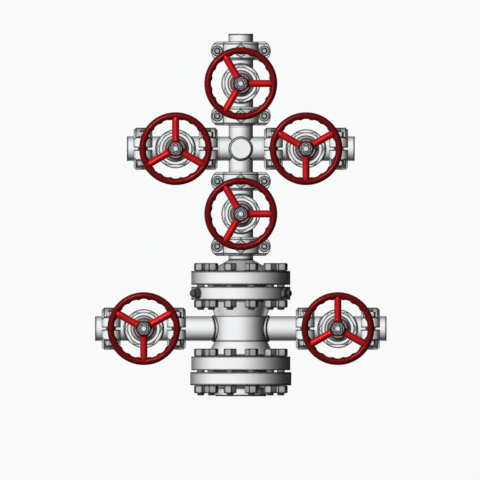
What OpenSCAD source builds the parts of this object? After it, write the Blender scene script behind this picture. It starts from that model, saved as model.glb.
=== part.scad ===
/* [Run pipe] */
// Outside diameter of the run pipe
pipe_d = 95; // [80:1:110]
// Bore through valves, cross and adapter
bore_d = 65; // [50:0.5:72]
// Bore of the short pipe stubs at the open ends
stub_bore_d = 66; // [50:0.5:74]
// Face to face length of a valve, and of the cross
run_l = 250; // [240:1:320]
// Length of the stub on top of the trunk
top_stub_l = 66; // [50:1:120]
// Length of the stubs at the ends of the arms
side_stub_l = 62; // [50:1:120]
// Chamfer round the open pipe ends
pipe_end_chamfer = 1.5; // [0.5:0.5:4]

/* [Clamp joints] */
// Height of a hub collar above the pipe
hub_rise = 14.5; // [10:0.5:18]
// Thickness of the cylindrical part of a hub collar
hub_t = 9; // [6:0.5:11]
// Angle of the wedge faces of a hub collar
hub_taper = 25; // [20:1:30]
// Gap between a hub collar and its clamp
clamp_gap = 0.3; // [0.1:0.1:0.6]
// Gap between the pipe and the lips of its clamp
lip_gap = 1; // [0.5:0.5:2]
// Metal of a clamp outside its groove
clamp_wall = 17.2; // [12:0.2:24]
// Width of a clamp along the pipe
clamp_w = 72; // [60:1:76]
// Bevel along the outer edges of a clamp
clamp_bevel = 9; // [4:0.5:12]
// Open gap between the two halves of a clamp
clamp_split = 8.8; // [4:0.2:14]
// Thickness of a lug
lug_t = 39; // [30:1:44]
// Reach of a lug beyond the middle of its bolt
lug_reach = 25; // [23:0.5:34]
// Extra radius of a lug's round end over half the clamp's width
lug_round = 5; // [3:0.5:10]
// Radius of the foot of the pad at the crown of a clamp half
pad_r = 28; // [22:1:32]
// Radius of the top of that pad
pad_top_r = 20; // [14:1:21]
// Height of the pad and of the forging ridge above the crown
pad_rise = 1.3; // [0.5:0.1:3]
// Width of the forging ridge across a clamp half
ridge_w = 5; // [3:0.5:10]
// Gap between the washer face of a clamp nut and the clamp's barrel
spot_gap = 2; // [1:0.5:4]
// Gap round a clamp stud in its lug
bolt_hole_gap = 1; // [0.5:0.5:2]
// Diameter of the clamp studs
clamp_stud_d = 24; // [20:1:26]
// Width across flats of the clamp nuts
clamp_nut_af = 36; // [34:1:40]
// Height of the clamp nuts
clamp_nut_h = 19; // [16:1:24]
// Turn of the clamp nuts about their studs
clamp_nut_turn = 20; // [0:5:55]
// Diameter of the washer face under a clamp nut
washer_d = 43; // [42:1:46]
// Thickness of the washer face under a clamp nut
washer_t = 3; // [2:0.5:5]
// Length of stud that shows past a clamp nut
clamp_stud_end = 9; // [4:0.5:14]

/* [Flanges] */
// Diameter of the three upper flanges
flange_d = 380; // [374:1:400]
// Diameter of the lowest flange
base_flange_d = 388; // [374:1:410]
// Diameter of the bolt circle
bolt_circle_d = 318; // [312:1:322]
// Number of studs in a flange joint
stud_count = 12; // [8:4:12]
// Diameter of the flange studs
stud_d = 30; // [24:1:32]
// Gap round a stud in its flange hole
stud_gap = 1.5; // [0.5:0.5:2]
// Width across flats of the flange nuts
nut_af = 46; // [42:1:48]
// Height of the flange nuts
nut_h = 30; // [24:1:34]
// Turn of the flange nuts about their studs
flange_nut_turn = 25; // [0:5:55]
// Length of stud that shows below the lower nuts
stud_end = 8.5; // [4:0.5:11]
// Depth of a stud's upper end below the face of its nut
stud_sunk = 1; // [0.5:0.5:4]
// Gap between two flanges, outside their raised faces
flange_gap = 6.5; // [5.5:0.5:9]
// Height of the raised faces
raised_h = 2.5; // [1.5:0.5:2.5]
// Diameter of the raised faces
raised_d = 256; // [240:1:270]
// Bevel round the rims of the flanges
rim_bevel = 1.5; // [0.5:0.5:3]
// Middle diameter of the ring gaskets
ring_d = 211; // [200:1:222]
// Width of the ring gaskets
ring_w = 11; // [9:0.5:12]
// Height of the ring gaskets
ring_h = 16; // [14:0.5:18]
// Gap round a ring gasket in its grooves
ring_gap = 0.2; // [0.1:0.1:0.4]

/* [Casing spool] */
// Diameter of the spool below the lowest flange
spool_d = 196; // [186:1:206]
// Bore of the spool
casing_bore_d = 162; // [140:1:168]
// Height of the spool below the lowest flange
spool_h = 41.5; // [40:0.5:80]
// Thickness of the lowest flange
base_flange_t = 51.5; // [45:0.5:60]
// Bevel of the neck under the lowest flange
spool_bevel = 10; // [4:1:14]

/* [Tubing head] */
// Height of the tubing head over both its flanges
head_h = 321; // [318:1:360]
// Thickness of its lower flange
head_low_t = 53.5; // [46:0.5:56]
// Thickness of its upper flange
head_top_t = 51; // [48:0.5:56]
// Bore of the tubing head
head_bore_d = 160; // [140:1:166]
// Diameter of its waist
waist_d = 201; // [190:1:208]
// Height of the waist
waist_h = 95; // [90:1:96]
// Drop of the middle of the waist below half height
waist_drop = 0.5; // [0:0.5:3]
// Diameter of the neck above the lower flange
low_neck_d = 254; // [235:1:256]
// Diameter of the neck below the upper flange
top_neck_d = 240; // [230:1:256]
// Straight part of each neck next to its flange
neck_step = 6; // [3:0.5:10]
// Distance from the trunk's axis to the end of a side outlet
outlet_reach = 247; // [240:1:300]
// Height of the weld bead round a side outlet
bead_rise = 4; // [2:0.5:6]
// Width of the weld bead along the outlet
bead_w = 9; // [5:0.5:12]
// Number of lock screws
lock_count = 4; // [2:2:4]
// Turn of the first lock screw from the arms
lock_angle = 30; // [28:1:32]
// Diameter of the lock screws
lock_d = 24; // [18:1:26]
// Width across flats of the lock screw glands
gland_af = 36; // [32:1:40]
// Length of the lock screw glands
gland_l = 16; // [10:1:24]
// Diameter of a lock screw's outer end
lock_end_d = 30; // [26:1:32]
// Length of a lock screw's outer end
lock_end_l = 17; // [10:1:24]
// Depth of a lock screw's inner end behind the bore of the head
lock_tip_gap = 2; // [1:0.5:6]
// Depth of the flat spot under a gland
spot_depth = 3; // [2.5:0.5:5]

/* [Adapter] */
// Thickness of the adapter flange
adapter_flange_t = 54; // [46:0.5:60]
// Height of the adapter over flange, cone and neck
adapter_h = 147.5; // [145:0.5:200]
// Diameter of the foot of the cone
cone_foot_d = 246; // [210:1:254]
// Height of the cone
cone_h = 42; // [30:1:44]

/* [Cross] */
// Diameter of the pipes of the cross
cross_pipe_d = 93; // [84:0.5:94]
// Length over which these pipes widen to the run pipe
cross_taper_l = 6; // [3:0.5:12]
// Distance from that widening to the face of the clamp
cross_taper_gap = 0.5; // [0:0.5:3]
// Diameter of the blank boss on the front
boss_d = 89; // [70:1:90]
// Distance from the trunk's axis to the face of the boss
boss_face = 64; // [56:1:90]
// Bevel round the face of the boss
boss_bevel = 5; // [1:0.5:8]

/* [Valves] */
// Diameter of the valve housings
housing_d = 150; // [140:1:160]
// Depth of a housing in front of the run's axis
housing_front = 105; // [90:1:130]
// Depth of a housing behind the run's axis
housing_back = 95; // [80:1:130]
// Bevel round the back of a housing
housing_bevel = 8; // [3:0.5:12]
// Bevel round the front of a housing
front_bevel = 2; // [1:0.5:4]
// Diameter of the threaded neck under the bonnet nut
thread_d = 104; // [102:1:110]
// Length of that neck
thread_l = 16; // [12:1:24]

/* [Bonnets] */
// Width across flats of the bonnet nut
bonnet_nut_af = 125; // [118:1:129]
// Diameter of the round face of the bonnet nut, inside its chamfer
bonnet_nut_face_d = 124; // [112:1:128]
// Slope of the chamfer across the corners of the bonnet nut
bonnet_nut_slope = 25; // [15:1:40]
// Turn of the bonnet nut about its stem
bonnet_nut_turn = 30; // [0:5:60]
// Length of the bonnet nut
bonnet_nut_l = 38; // [32:1:44]
// Gap behind the bonnet nut
nut_back_gap = 2; // [1:0.5:4]
// Gap round the inside of the bonnet nut
nut_gap = 0.5; // [0.2:0.1:1]
// Thickness of the bonnet's clamped rim
bonnet_rim_t = 11; // [8:0.5:15]
// Diameter of the foot of the bonnet
bonnet_foot_d = 96; // [90:1:100]
// Diameter of the bearing housing
bearing_d = 82; // [72:1:86]
// Length of the taper from the foot to the bearing housing
bonnet_taper_l = 11; // [6:0.5:20]
// Height of the foot past the bonnet nut
bonnet_foot_l = 2; // [1:0.5:6]
// Length of the bearing housing
bearing_l = 68; // [50:1:90]
// Bevel round the end of the bearing housing
bearing_bevel = 4.5; // [2:0.5:8]

/* [Handwheels] */
// Outer diameter of a handwheel
wheel_d = 280; // [240:1:300]
// Thickness of the rim
rim_d = 26; // [22:1:30]
// Number of finger grips on the inside of the rim
grip_count = 18; // [12:3:21]
// Reach of a finger grip inside the rim
grip_rise = 3.8; // [2:0.2:5]
// Half thickness of a finger grip
grip_r = 9.5; // [7:0.5:10]
// Half length of a finger grip
grip_l = 15; // [12:0.5:17]
// Number of spokes
spoke_count = 3; // [3:1:4]
// Thickness of the spokes
spoke_d = 28; // [20:1:30]
// Thickness of a spoke where it ends inside the rim
spoke_end_d = 24; // [16:0.5:24.5]
// Length of the taper at a spoke's outer end
spoke_taper_l = 12; // [6:1:20]
// Diameter of the wheel's hub
wheel_hub_d = 60; // [56:1:76]
// Length of the wheel's hub
wheel_hub_l = 44; // [34:1:60]
// Bevel round the ends of the wheel's hub
wheel_hub_bevel = 3; // [1:0.5:6]
// Gap between the wheel's hub and the bearing housing
wheel_gap = 5; // [5:0.5:9]
// Diameter of the stem
stem_d = 30; // [26:1:34]
// Gap round the stem in its bearing
bearing_fit = 0.05; // [0.02:0.01:0.08]
// Gap behind the inner end of the stem
stem_back_gap = 3; // [1:0.5:6]
// Gap round the stem in the wheel's hub
hub_fit = 0.1; // [0.05:0.05:0.3]
// Diameter of the threaded end of the stem
stem_end_d = 24; // [18:1:25]
// Depth of the stem's shoulder below the face of the wheel's hub
shoulder_sunk = 3; // [1:0.5:6]
// Length of thread that shows past the wheel nut
stem_end_l = 6; // [3:0.5:12]
// Diameter of the washer face of the wheel nut
wheel_washer_d = 50; // [44:1:52]
// Thickness of the washer face of the wheel nut
wheel_washer_t = 5; // [3:0.5:8]
// Chamfer on the ends of all studs and stems
thread_chamfer = 3.5; // [2:0.5:5]
// Gap in the threads between studs and nuts
thread_gap = 0.05; // [0.02:0.01:0.1]

/* [Hidden] */
$fn = 72;
// Length by which cutting bodies run past the metal
over = 1;

STEEL = [0.86, 0.87, 0.88];
DARK_STEEL = [0.42, 0.43, 0.45];
NUT_STEEL = [0.70, 0.71, 0.72];
WHEEL_RED = [0.72, 0.06, 0.05];

// Radii of the run and its joints
pipe_r = pipe_d / 2;
hub_r = pipe_r + hub_rise;
hub_end = hub_t + hub_rise * tan(hub_taper);
groove_r = hub_r + clamp_gap;
clamp_r = groove_r + clamp_wall;
lip_r = pipe_r + lip_gap;
lug_face = clamp_split / 2 + lug_t;
clamp_bolt_x = sqrt(pow(clamp_r, 2) - pow(lug_face, 2)) + washer_d / 2 + spot_gap;
clamp_stud_half = lug_face + washer_t + clamp_nut_h + clamp_stud_end;

// Heights of the flange joints, from the ground up
base_top = spool_h + base_flange_t;
head_z = base_top + flange_gap;
head_top = head_z + head_h;
adapter_z = head_top + flange_gap;
standoff = flange_gap - 2 * raised_h;
outlet_z = head_z + head_h / 2 - waist_drop;
lock_z = head_top - head_top_t / 2;

// Heights of the clamp joints on the trunk
trunk_z = [for (k = [0:3]) adapter_z + adapter_h + k * run_l];
cross_z = trunk_z[1] + run_l / 2;

// Places of the valves: x, z, turn of the run, angle of the first spoke
TOP = [0, trunk_z[2] + run_l / 2, 0, 0];
MASTER = [0, trunk_z[0] + run_l / 2, 0, 0];
LEFT_WING = [-run_l, cross_z, 90, 90];
RIGHT_WING = [run_l, cross_z, 90, 30];
LEFT_OUTLET = [-outlet_reach - run_l / 2, outlet_z, 90, 30];
RIGHT_OUTLET = [outlet_reach + run_l / 2, outlet_z, 90, 90];
VALVES = [TOP, MASTER, LEFT_WING, RIGHT_WING, LEFT_OUTLET, RIGHT_OUTLET];

// Distances of the valve trim in front of the run's axis
thread_end = housing_front + thread_l;
bonnet_seat = thread_end + bonnet_rim_t;
bonnet_nut_start = housing_front + nut_back_gap;
bonnet_nut_end = bonnet_nut_start + bonnet_nut_l;
bonnet_foot_end = bonnet_nut_end + bonnet_foot_l;
bearing_start = bonnet_foot_end + bonnet_taper_l;
bearing_end = bearing_start + bearing_l;
hub_back = bearing_end + wheel_gap;
hub_face = hub_back + wheel_hub_l;
wheel_mid = (hub_back + hub_face) / 2;
stem_start = thread_end + stem_back_gap;
stem_shoulder = hub_face - shoulder_sunk;
wheel_nut_end = hub_face + wheel_washer_t + clamp_nut_h;
stem_tip = wheel_nut_end + stem_end_l;
bonnet_nut_face_r = bonnet_nut_face_d / 2;
bonnet_nut_corner_r = bonnet_nut_af / sqrt(3);
bonnet_nut_drop = (bonnet_nut_corner_r - bonnet_nut_face_r) * tan(bonnet_nut_slope);
rim_r = rim_d / 2;
rim_mid_r = wheel_d / 2 - rim_r;
stem_r = stem_d / 2;

// Distance along the run from the joint to a clamp's wedge face, at radius r
function wedge(r) = hub_t + (hub_r - r) * tan(hub_taper) + clamp_gap;

module facing() {
    rotate([90, 0, 0]) children();
}

module at_valve(v) {
    translate([v[0], 0, v[1]]) rotate([0, v[2], 0]) children();
}

module at_wheel(v) {
    translate([v[0], 0, v[1]]) facing() rotate([0, 0, v[3]]) children();
}

module along_x() {
    rotate([90, 0, 90]) children();
}

module turned(points) {
    rotate_extrude() polygon(points);
}

module hexagon_prism(af, h) {
    cylinder(h = h, r = af / sqrt(3), $fn = 6);
}

// A length of run pipe, centred, with a hub collar on each end
module run_piece(l) {
    turned([
        [0, -l / 2], [hub_r, -l / 2], [hub_r, -l / 2 + hub_t],
        [pipe_r, -l / 2 + hub_end], [pipe_r, l / 2 - hub_end],
        [hub_r, l / 2 - hub_t], [hub_r, l / 2], [0, l / 2]
    ]);
}

module bore(l, d) {
    translate([0, 0, -l / 2 - over]) cylinder(h = l + 2 * over, d = d);
}

// A stud along z from its middle, with chamfered ends
module stud(half, d) {
    turned([
        [0, -half], [d / 2 - thread_chamfer, -half], [d / 2, -half + thread_chamfer],
        [d / 2, half - thread_chamfer], [d / 2 - thread_chamfer, half], [0, half]
    ]);
}

module on_bolt_circle() {
    for (k = [0:stud_count - 1]) {
        rotate([0, 0, (k + 0.5) * 360 / stud_count])
            translate([bolt_circle_d / 2, 0, 0]) children();
    }
}

module stud_holes(z0, z1) {
    on_bolt_circle()
        translate([0, 0, z0 - over])
            cylinder(h = z1 - z0 + 2 * over, d = stud_d + 2 * stud_gap);
}

// An eight-sided ring section, made larger all round by grow
module ring_section(grow) {
    w = ring_w / 2 + grow;
    h = ring_h / 2 + grow;
    c = ring_w / 4;
    translate([ring_d / 2, 0])
        polygon([
            [-w, -h + 2 * c], [-w + c, -h], [w - c, -h], [w, -h + 2 * c],
            [w, h - 2 * c], [w - c, h], [-w + c, h], [-w, h - 2 * c]
        ]);
}

module ring_groove(z) {
    translate([0, 0, z]) rotate_extrude() ring_section(ring_gap);
}

// Casing spool

module casing_spool() {
    color(STEEL)
        difference() {
            turned([
                [casing_bore_d / 2, 0], [spool_d / 2, 0],
                [spool_d / 2, spool_h - spool_bevel],
                [spool_d / 2 + spool_bevel, spool_h],
                [base_flange_d / 2 - rim_bevel, spool_h],
                [base_flange_d / 2, spool_h + rim_bevel],
                [base_flange_d / 2, base_top - rim_bevel],
                [base_flange_d / 2 - rim_bevel, base_top],
                [raised_d / 2, base_top], [raised_d / 2, base_top + raised_h],
                [casing_bore_d / 2, base_top + raised_h]
            ]);
            stud_holes(spool_h, base_top);
            ring_groove(base_top + flange_gap / 2);
        }
}

// Tubing head

module head_outside() {
    low_top = head_z + head_low_t;
    high_bottom = head_top - head_top_t;
    turned([
        [0, head_z - raised_h], [raised_d / 2, head_z - raised_h],
        [raised_d / 2, head_z], [flange_d / 2 - rim_bevel, head_z],
        [flange_d / 2, head_z + rim_bevel], [flange_d / 2, low_top - rim_bevel],
        [flange_d / 2 - rim_bevel, low_top], [low_neck_d / 2, low_top],
        [low_neck_d / 2, low_top + neck_step],
        [waist_d / 2, outlet_z - waist_h / 2], [waist_d / 2, outlet_z + waist_h / 2],
        [top_neck_d / 2, high_bottom - neck_step], [top_neck_d / 2, high_bottom],
        [flange_d / 2 - rim_bevel, high_bottom],
        [flange_d / 2, high_bottom + rim_bevel], [flange_d / 2, head_top - rim_bevel],
        [flange_d / 2 - rim_bevel, head_top], [raised_d / 2, head_top],
        [raised_d / 2, head_top + raised_h], [0, head_top + raised_h]
    ]);
}

module outlet_beads() {
    intersection() {
        rotate([0, 90, 0])
            cylinder(h = waist_d + 4 * bead_w, d = pipe_d + 2 * bead_rise, center = true);
        cylinder(h = 2 * pipe_d, d = waist_d + 2 * bead_w, center = true);
    }
}

module at_lock_screws() {
    for (k = [0:lock_count / 2 - 1]) {
        for (a = [lock_angle, 180 - lock_angle])
            rotate([0, 0, a + k * 2 * (180 - a)])
                translate([0, 0, lock_z]) rotate([0, 90, 0]) children();
    }
}

module lock_screw_holes() {
    hole_r = lock_d / 2 + thread_gap;
    at_lock_screws() {
        translate([0, 0, head_bore_d / 4]) cylinder(h = flange_d / 2, r = hole_r);
        translate([0, 0, flange_d / 2 - spot_depth])
            cylinder(h = 2 * spot_depth, r = gland_af / sqrt(3) + over);
    }
}

module tubing_head() {
    color(STEEL)
        difference() {
            union() {
                head_outside();
                translate([0, 0, outlet_z]) {
                    rotate([0, 90, 0]) run_piece(2 * outlet_reach);
                    outlet_beads();
                }
            }
            translate([0, 0, head_z - raised_h - over])
                cylinder(h = head_h + 2 * raised_h + 2 * over, d = head_bore_d);
            translate([0, 0, outlet_z]) rotate([0, 90, 0]) bore(2 * outlet_reach, bore_d);
            stud_holes(head_z, head_z + head_low_t);
            stud_holes(head_top - head_top_t, head_top);
            ring_groove(base_top + flange_gap / 2);
            ring_groove(head_top + flange_gap / 2);
            lock_screw_holes();
        }
}

module lock_screws() {
    seat = flange_d / 2 - spot_depth;
    tip = head_bore_d / 2 + lock_tip_gap;
    color(DARK_STEEL)
        at_lock_screws() {
            translate([0, 0, seat]) hexagon_prism(gland_af, gland_l);
            turned([
                [0, tip], [lock_d / 4, tip],
                [lock_d / 2, tip + lock_d / 4], [lock_d / 2, seat + gland_l],
                [lock_end_d / 2, seat + gland_l],
                [lock_end_d / 2, seat + gland_l + lock_end_l - thread_chamfer],
                [lock_end_d / 2 - thread_chamfer, seat + gland_l + lock_end_l],
                [0, seat + gland_l + lock_end_l]
            ]);
        }
}

// Adapter

module head_adapter() {
    flange_top = adapter_z + adapter_flange_t;
    top = adapter_z + adapter_h;
    color(STEEL)
        difference() {
            turned([
                [0, adapter_z - raised_h], [raised_d / 2, adapter_z - raised_h],
                [raised_d / 2, adapter_z], [flange_d / 2 - rim_bevel, adapter_z],
                [flange_d / 2, adapter_z + rim_bevel],
                [flange_d / 2, flange_top - rim_bevel],
                [flange_d / 2 - rim_bevel, flange_top], [cone_foot_d / 2, flange_top],
                [pipe_r, flange_top + cone_h], [pipe_r, top - hub_end],
                [hub_r, top - hub_t], [hub_r, top], [0, top]
            ]);
            translate([0, 0, adapter_z - raised_h - over])
                cylinder(h = adapter_h + raised_h + 2 * over, d = bore_d);
            stud_holes(adapter_z, flange_top);
            ring_groove(head_top + flange_gap / 2);
        }
}

// Cross

module cross_run() {
    end = run_l / 2;
    wide = end - clamp_w / 2 - cross_taper_gap;
    narrow_r = cross_pipe_d / 2;
    half = [
        [hub_r, end], [hub_r, end - hub_t], [pipe_r, end - hub_end],
        [pipe_r, wide], [narrow_r, wide - cross_taper_l]
    ];
    turned(concat(
        [[0, end]], half,
        [for (k = [len(half) - 1:-1:0]) [half[k][0], -half[k][1]]], [[0, -end]]
    ));
}

module flow_cross() {
    color(STEEL)
        translate([0, 0, cross_z])
            difference() {
                union() {
                    cross_run();
                    rotate([0, 90, 0]) cross_run();
                    facing() turned([
                        [0, 0], [boss_d / 2, 0], [boss_d / 2, boss_face - boss_bevel],
                        [boss_d / 2 - boss_bevel, boss_face], [0, boss_face]
                    ]);
                }
                bore(run_l, bore_d);
                rotate([0, 90, 0]) bore(run_l, bore_d);
            }
}

// Valves

module valve_body() {
    color(STEEL)
        difference() {
            union() {
                run_piece(run_l);
                facing() turned([
                    [0, -housing_back], [housing_d / 2 - housing_bevel, -housing_back],
                    [housing_d / 2, -housing_back + housing_bevel],
                    [housing_d / 2, housing_front - front_bevel],
                    [housing_d / 2 - front_bevel, housing_front],
                    [thread_d / 2, housing_front], [thread_d / 2, thread_end],
                    [0, thread_end]
                ]);
            }
            bore(run_l, bore_d);
        }
}

module bonnet() {
    color(STEEL)
        facing() turned([
            [stem_r + bearing_fit, thread_end], [thread_d / 2, thread_end],
            [thread_d / 2, bonnet_seat], [bonnet_foot_d / 2, bonnet_seat],
            [bonnet_foot_d / 2, bonnet_foot_end], [bearing_d / 2, bearing_start],
            [bearing_d / 2, bearing_end - bearing_bevel],
            [bearing_d / 2 - bearing_bevel, bearing_end],
            [stem_r + bearing_fit, bearing_end]
        ]);
}

module bonnet_nut() {
    facing()
        intersection() {
            turned([
                [thread_d / 2 + nut_gap, bonnet_nut_start],
                [bonnet_nut_corner_r, bonnet_nut_start],
                [bonnet_nut_corner_r, bonnet_nut_end - bonnet_nut_drop],
                [bonnet_nut_face_r, bonnet_nut_end],
                [bonnet_foot_d / 2 + nut_gap, bonnet_nut_end],
                [bonnet_foot_d / 2 + nut_gap, bonnet_seat],
                [thread_d / 2 + nut_gap, bonnet_seat]
            ]);
            translate([0, 0, bonnet_nut_start - over])
                rotate([0, 0, bonnet_nut_turn]) hexagon_prism(bonnet_nut_af, bonnet_nut_l + 2 * over);
        }
}

module bonnet_nuts() {
    color(NUT_STEEL)
        for (v = VALVES) at_valve(v) bonnet_nut();
}

// Handwheels

// A spindle-shaped swelling along z, the body that an arc sweeps about its chord
module finger_grip() {
    arc_r = (pow(grip_l, 2) + pow(grip_r, 2)) / (2 * grip_r);
    rotate_extrude()
        intersection() {
            translate([grip_r - arc_r, 0]) circle(r = arc_r);
            translate([0, -grip_l]) square([grip_r, 2 * grip_l]);
        }
}

module wheel_rim() {
    rotate_extrude() translate([rim_mid_r, 0]) circle(r = rim_r);
    for (k = [0:grip_count - 1]) {
        rotate([0, 0, (k + 0.5) * 360 / grip_count])
            translate([rim_mid_r - rim_r - grip_rise + grip_r, 0, 0])
                rotate([90, 0, 0]) finger_grip();
    }
}

module spoke() {
    end = rim_mid_r - rim_r / 4;
    rotate([0, 90, 0])
        turned([
            [0, 0], [spoke_d / 2, 0], [spoke_d / 2, end - spoke_taper_l],
            [spoke_end_d / 2, end], [0, end]
        ]);
}

module handwheel() {
    color(WHEEL_RED)
        difference() {
            union() {
                translate([0, 0, wheel_mid]) {
                    wheel_rim();
                    for (k = [0:spoke_count - 1])
                        rotate([0, 0, k * 360 / spoke_count]) spoke();
                }
                turned([
                    [0, hub_back], [wheel_hub_d / 2 - wheel_hub_bevel, hub_back],
                    [wheel_hub_d / 2, hub_back + wheel_hub_bevel],
                    [wheel_hub_d / 2, hub_face - wheel_hub_bevel],
                    [wheel_hub_d / 2 - wheel_hub_bevel, hub_face], [0, hub_face]
                ]);
            }
            translate([0, 0, hub_back - over])
                cylinder(h = wheel_hub_l + 2 * over, r = stem_r + hub_fit);
        }
}

module stem() {
    end_r = stem_end_d / 2;
    color(NUT_STEEL)
        turned([
            [0, stem_start], [stem_r, stem_start], [stem_r, stem_shoulder],
            [end_r, stem_shoulder], [end_r, stem_tip - thread_chamfer],
            [end_r - thread_chamfer, stem_tip], [0, stem_tip]
        ]);
}

module wheel_nut() {
    color(NUT_STEEL)
        translate([0, 0, hub_face])
            difference() {
                union() {
                    cylinder(h = wheel_washer_t, d = wheel_washer_d);
                    hexagon_prism(clamp_nut_af, wheel_washer_t + clamp_nut_h);
                }
                translate([0, 0, -over])
                    cylinder(h = wheel_washer_t + clamp_nut_h + 2 * over,
                             r = stem_end_d / 2 + thread_gap);
            }
}

module top_valve_body() { at_valve(TOP) valve_body(); }
module master_valve_body() { at_valve(MASTER) valve_body(); }
module left_wing_valve_body() { at_valve(LEFT_WING) valve_body(); }
module right_wing_valve_body() { at_valve(RIGHT_WING) valve_body(); }
module left_outlet_valve_body() { at_valve(LEFT_OUTLET) valve_body(); }
module right_outlet_valve_body() { at_valve(RIGHT_OUTLET) valve_body(); }

module top_bonnet() { at_valve(TOP) bonnet(); }
module master_bonnet() { at_valve(MASTER) bonnet(); }
module left_wing_bonnet() { at_valve(LEFT_WING) bonnet(); }
module right_wing_bonnet() { at_valve(RIGHT_WING) bonnet(); }
module left_outlet_bonnet() { at_valve(LEFT_OUTLET) bonnet(); }
module right_outlet_bonnet() { at_valve(RIGHT_OUTLET) bonnet(); }

module top_handwheel() { at_wheel(TOP) handwheel(); }
module master_handwheel() { at_wheel(MASTER) handwheel(); }
module left_wing_handwheel() { at_wheel(LEFT_WING) handwheel(); }
module right_wing_handwheel() { at_wheel(RIGHT_WING) handwheel(); }
module left_outlet_handwheel() { at_wheel(LEFT_OUTLET) handwheel(); }
module right_outlet_handwheel() { at_wheel(RIGHT_OUTLET) handwheel(); }

module top_stem() { at_wheel(TOP) stem(); }
module master_stem() { at_wheel(MASTER) stem(); }
module left_wing_stem() { at_wheel(LEFT_WING) stem(); }
module right_wing_stem() { at_wheel(RIGHT_WING) stem(); }
module left_outlet_stem() { at_wheel(LEFT_OUTLET) stem(); }
module right_outlet_stem() { at_wheel(RIGHT_OUTLET) stem(); }

module top_wheel_nut() { at_wheel(TOP) wheel_nut(); }
module master_wheel_nut() { at_wheel(MASTER) wheel_nut(); }
module left_wing_wheel_nut() { at_wheel(LEFT_WING) wheel_nut(); }
module right_wing_wheel_nut() { at_wheel(RIGHT_WING) wheel_nut(); }
module left_outlet_wheel_nut() { at_wheel(LEFT_OUTLET) wheel_nut(); }
module right_outlet_wheel_nut() { at_wheel(RIGHT_OUTLET) wheel_nut(); }

// End stubs

module end_stub(l) {
    turned([
        [stub_bore_d / 2, 0], [hub_r, 0], [hub_r, hub_t], [pipe_r, hub_end],
        [pipe_r, l - pipe_end_chamfer], [pipe_r - pipe_end_chamfer, l],
        [stub_bore_d / 2, l]
    ]);
}

module end_stubs() {
    color(STEEL) {
        translate([0, 0, trunk_z[3]]) end_stub(top_stub_l);
        for (side = [-1, 1]) {
            translate([side * 1.5 * run_l, 0, cross_z])
                rotate([0, side * 90, 0]) end_stub(side_stub_l);
            translate([side * (outlet_reach + run_l), 0, outlet_z])
                rotate([0, side * 90, 0]) end_stub(side_stub_l);
        }
    }
}

// Clamps

module at_trunk_joints() {
    for (z = trunk_z) translate([0, 0, z]) children();
}

module at_wing_joints() {
    for (side = [-1, 1])
        for (k = [0.5, 1.5])
            translate([side * k * run_l, 0, cross_z]) along_x() children();
}

module at_outlet_joints() {
    for (side = [-1, 1])
        for (k = [0, 1])
            translate([side * (outlet_reach + k * run_l), 0, outlet_z]) along_x() children();
}

module clamp_groove() {
    w = clamp_w / 2 + over;
    turned([
        [0, -w], [lip_r, -w], [lip_r, -wedge(lip_r)], [groove_r, -wedge(groove_r)],
        [groove_r, wedge(groove_r)], [lip_r, wedge(lip_r)], [lip_r, w], [0, w]
    ]);
}

// Outline of the lugs along the run, with round ends
module lug_outline() {
    end_r = clamp_w / 2 + lug_round;
    end_x = clamp_bolt_x + lug_reach - end_r;
    intersection() {
        square([4 * clamp_bolt_x, clamp_w], center = true);
        union() {
            square([2 * end_x, clamp_w], center = true);
            for (side = [-1, 1]) translate([side * end_x, 0]) circle(r = end_r);
        }
    }
}

module lugs() {
    w = clamp_w / 2;
    intersection() {
        facing() linear_extrude(height = 2 * lug_face, center = true) lug_outline();
        along_x()
            linear_extrude(height = 4 * clamp_bolt_x, center = true)
                polygon([
                    [-lug_face, -w + clamp_bevel], [-lug_face + clamp_bevel, -w],
                    [lug_face - clamp_bevel, -w], [lug_face, -w + clamp_bevel],
                    [lug_face, w - clamp_bevel], [lug_face - clamp_bevel, w],
                    [-lug_face + clamp_bevel, w], [-lug_face, w - clamp_bevel]
                ]);
    }
}

module clamp_barrel(grow) {
    w = clamp_w / 2;
    r = clamp_r + grow;
    turned([
        [0, -w], [r - clamp_bevel, -w], [r, -w + clamp_bevel],
        [r, w - clamp_bevel], [r - clamp_bevel, w], [0, w]
    ]);
}

// Both halves of a clamp in one piece, before they are parted
module clamp_blank() {
    lugs();
    clamp_barrel(0);
    intersection() {
        clamp_barrel(pad_rise);
        cube([ridge_w, 4 * clamp_r, 2 * clamp_w], center = true);
    }
    for (turn = [0, 180])
        rotate([0, 0, turn]) facing()
            translate([0, 0, lug_face])
                cylinder(h = clamp_r + pad_rise - lug_face, r1 = pad_r, r2 = pad_top_r);
}

module clamp() {
    hole_d = clamp_stud_d + 2 * bolt_hole_gap;
    difference() {
        clamp_blank();
        clamp_groove();
        cube([4 * clamp_bolt_x, clamp_split, 2 * clamp_w], center = true);
        for (side = [-1, 1])
            translate([side * clamp_bolt_x, 0, 0]) facing() bore(2 * lug_face, hole_d);
    }
}

module trunk_clamps() { color(STEEL) at_trunk_joints() clamp(); }
module wing_clamps() { color(STEEL) at_wing_joints() clamp(); }
module outlet_clamps() { color(STEEL) at_outlet_joints() clamp(); }

module at_clamp_bolts() {
    for (side = [-1, 1])
        translate([side * clamp_bolt_x, 0, 0]) facing() rotate([0, 0, side * -clamp_nut_turn])
            children();
}

module clamp_nut_pair() {
    for (turn = [0, 180])
        rotate([turn, 0, 0])
            translate([0, 0, lug_face])
                difference() {
                    union() {
                        cylinder(h = washer_t, d = washer_d);
                        hexagon_prism(clamp_nut_af, washer_t + clamp_nut_h);
                    }
                    translate([0, 0, -over])
                        cylinder(h = washer_t + clamp_nut_h + 2 * over,
                                 r = clamp_stud_d / 2 + thread_gap);
                }
}

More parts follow.
